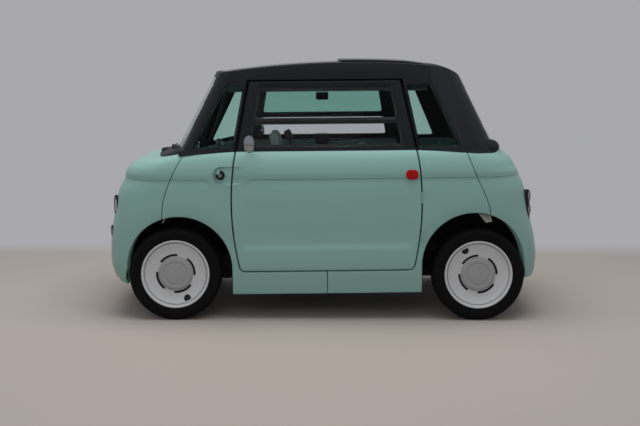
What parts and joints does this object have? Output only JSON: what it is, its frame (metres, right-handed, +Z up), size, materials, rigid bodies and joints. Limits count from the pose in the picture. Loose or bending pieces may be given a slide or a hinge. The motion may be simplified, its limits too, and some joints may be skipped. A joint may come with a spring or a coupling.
{
  "type": "two-seat microcar",
  "caption": "Small two-seat electric car with rounded ends, hinged doors, steered front wheels and a dark glazed cabin.",
  "frame": {"origin": "on the ground, at the middle of the length and of the width", "axes": "+X forward, +Y to the car's left, +Z up"},
  "size_m": [2.5376, 1.558, 1.5016],
  "materials": {
    "body_paint": "satin",
    "frame_black": "satin",
    "hoop_black": "satin",
    "roof_black": "gloss",
    "clear_glass": "gloss",
    "mirror_chrome": "polished",
    "lamp_lens": "gloss",
    "tail_lens": "gloss",
    "socket_steel": "satin",
    "floor_black": "matte",
    "cabin_grey": "matte",
    "seat_grey": "matte",
    "control_black": "satin",
    "chassis_steel": "satin",
    "battery_case": "satin",
    "tyre_rubber": "matte",
    "wheel_grey": "satin"
  },
  "bodies": {
    "body": {"front_panel": "body_paint", "rear_panel": "body_paint", "wing_front_left": "body_paint", "wing_front_right": "body_paint", "wing_rear_left": "body_paint", "wing_rear_right": "body_paint", "cabin_frame": "frame_black", "wiper": "frame_black", "rear_hoop": "hoop_black", "roof_rear": "roof_black", "windscreen": "clear_glass", "rear_window": "clear_glass", "roof_glass": "clear_glass", "quarter_glasses": "clear_glass", "front_lamps": "lamp_lens", "tail_lamps": "tail_lens", "tow_sockets": "socket_steel", "floor_pan": "floor_black", "arch_liners": "floor_black", "bulkheads": "cabin_grey", "dashboard": "cabin_grey", "seat_driver": "seat_grey", "seat_passenger": "seat_grey", "steering_column": "control_black", "front_suspension": "chassis_steel", "rear_axle": "chassis_steel", "motor_block": "chassis_steel", "battery_block": "battery_case"},
    "door_left": {"door_skin_left": "body_paint", "door_frame_left": "frame_black", "door_glass_left": "clear_glass", "mirror_left": "mirror_chrome"},
    "door_right": {"door_skin_right": "body_paint", "door_frame_right": "frame_black", "door_glass_right": "clear_glass", "mirror_right": "mirror_chrome"},
    "knuckle_left": {"knuckle_left": "chassis_steel"},
    "knuckle_right": {"knuckle_right": "chassis_steel"},
    "steering_wheel": {"steering_wheel": "control_black"},
    "wheel_front_left": {"tyre_front_left": "tyre_rubber", "rim_front_left": "wheel_grey"},
    "wheel_front_right": {"tyre_front_right": "tyre_rubber", "rim_front_right": "wheel_grey"},
    "wheel_rear_left": {"tyre_rear_left": "tyre_rubber", "rim_rear_left": "wheel_grey"},
    "wheel_rear_right": {"tyre_rear_right": "tyre_rubber", "rim_rear_right": "wheel_grey"}
  },
  "joints": [
    {"name": "door_left_hinge", "type": "hinge", "parent": "body", "child": "door_left", "pos_m": [-0.55182, 0.689, 0.60723], "axis": [0.0134, 0, 0.9999], "range_deg": [0, 65]},
    {"name": "door_right_hinge", "type": "hinge", "parent": "body", "child": "door_right", "pos_m": [0.52808, -0.689, 0.59272], "axis": [0.0134, 0, 0.9999], "range_deg": [0, 65]},
    {"name": "steer_left", "type": "hinge", "parent": "body", "child": "knuckle_left", "pos_m": [0.8485, 0.588, 0.263], "axis": [0.0134, 0, 0.9999], "range_deg": [-30, 30]},
    {"name": "steer_right", "type": "hinge", "parent": "body", "child": "knuckle_right", "pos_m": [0.8485, -0.588, 0.263], "axis": [0.0134, 0, 0.9999], "range_deg": [-30, 30]},
    {"name": "steering_wheel_turn", "type": "hinge", "parent": "body", "child": "steering_wheel", "pos_m": [0.55168, 0.35, 0.86043], "axis": [-0.8928, 0, 0.4504], "range_deg": [-425, 425]},
    {"name": "wheel_front_left_spin", "type": "hinge", "parent": "knuckle_left", "child": "wheel_front_left", "pos_m": [0.8485, 0.6, 0.263], "axis": [0, 1, 0], "continuous": true},
    {"name": "wheel_front_right_spin", "type": "hinge", "parent": "knuckle_right", "child": "wheel_front_right", "pos_m": [0.8485, -0.6, 0.263], "axis": [0, 1, 0], "continuous": true},
    {"name": "wheel_rear_left_spin", "type": "hinge", "parent": "body", "child": "wheel_rear_left", "pos_m": [-0.8795, 0.6, 0.263], "axis": [0, 1, 0], "continuous": true},
    {"name": "wheel_rear_right_spin", "type": "hinge", "parent": "body", "child": "wheel_rear_right", "pos_m": [-0.8795, -0.6, 0.263], "axis": [0, 1, 0], "continuous": true}
  ],
  "couplings": [
    {"joint": "steer_right", "follows": "steer_left", "ratio": 1},
    {"joint": "steering_wheel_turn", "follows": "steer_left", "ratio": 14}
  ]
}
